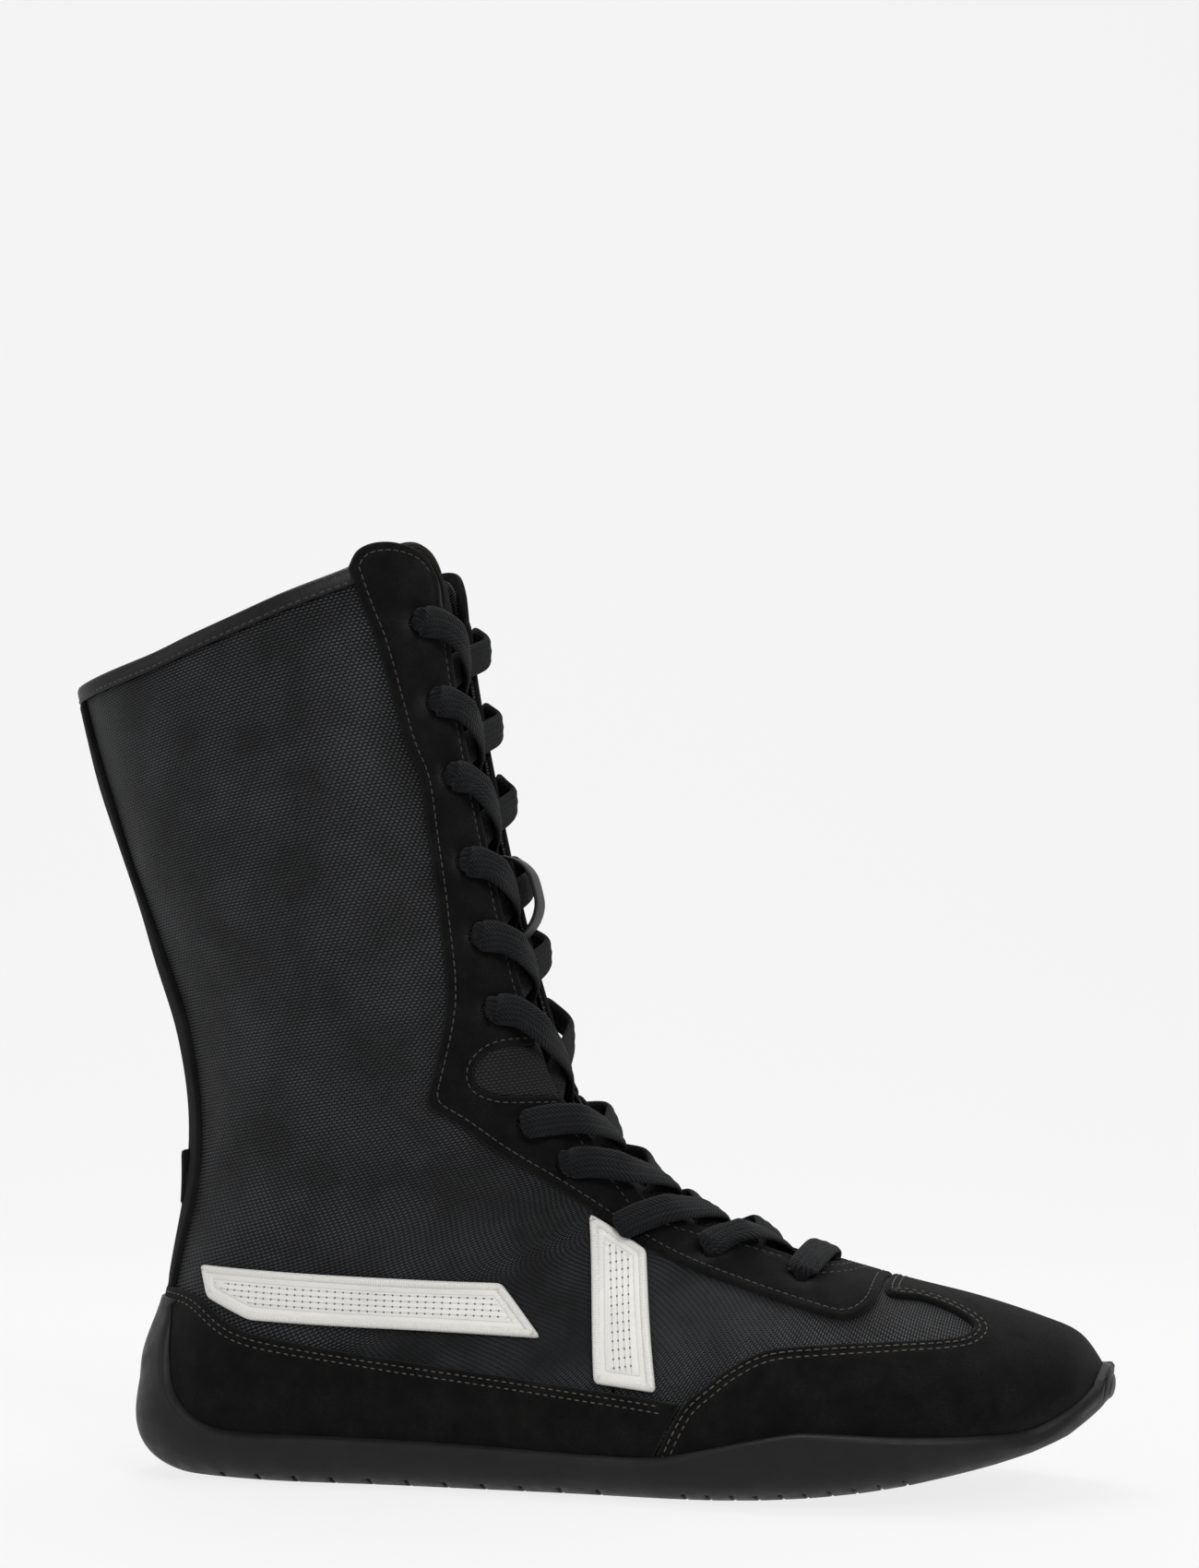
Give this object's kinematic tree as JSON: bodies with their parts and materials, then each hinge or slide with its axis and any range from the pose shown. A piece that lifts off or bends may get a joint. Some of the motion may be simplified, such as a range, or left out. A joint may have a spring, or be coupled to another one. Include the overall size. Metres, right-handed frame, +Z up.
{
  "type": "boxing boot",
  "caption": "High laced boxing boot in black mesh and suede with white side panels, a flat lace through the eyelets and a thin rubber sole; the shaft flexes at the ankle.",
  "frame": {"origin": "on the ground under the middle of the outsole's length", "axes": "+X from the heel to the toe, +Y to the boot's inner side, +Z up"},
  "size_m": [0.2991, 0.0982, 0.2645],
  "materials": {
    "sole_rubber": "satin",
    "foam": "matte",
    "board": "matte",
    "lining_fabric": "matte",
    "mesh_fabric": "matte",
    "suede": "matte",
    "white_leather": "satin",
    "binding": "matte",
    "lace_fabric": "matte",
    "aglet_plastic": "gloss"
  },
  "bodies": {
    "foot": {"outsole": "sole_rubber", "midsole": "foam", "insole_board": "board", "sockliner": "lining_fabric", "heel_counter": "board", "toe_puff": "board", "foot_lining": "lining_fabric", "vamp": "mesh_fabric", "quarter_lateral": "mesh_fabric", "quarter_medial": "mesh_fabric", "toe_cap": "suede", "foxing_lateral": "suede", "foxing_medial": "suede", "backstay": "suede", "heel_tab": "suede", "eyestay_lateral": "suede", "eyestay_medial": "suede", "facing_lateral": "board", "facing_medial": "board", "flex_mesh_lateral": "mesh_fabric", "flex_mesh_medial": "mesh_fabric", "side_band_lateral": "white_leather", "side_band_medial": "white_leather", "side_bar_lateral": "white_leather", "side_bar_medial": "white_leather", "tongue": "lining_fabric", "lace": "lace_fabric"},
    "shaft": {"shaft_lining": "lining_fabric", "shaft_foam": "foam", "collar_binding": "binding", "tongue_binding": "binding", "lace_keeper": "binding", "aglets": "aglet_plastic"}
  },
  "joints": [
    {"name": "ankle_flex", "type": "hinge", "parent": "foot", "child": "shaft", "pos_m": [-0.075, 0, 0.113], "axis": [0, 1, 0], "range_deg": [-10, 15], "stiffness_Nm_per_rad": 1.5, "deforming": ["quarter_lateral", "quarter_medial", "backstay", "eyestay_lateral", "eyestay_medial", "facing_lateral", "facing_medial", "flex_mesh_lateral", "flex_mesh_medial", "tongue", "lace"]}
  ]
}
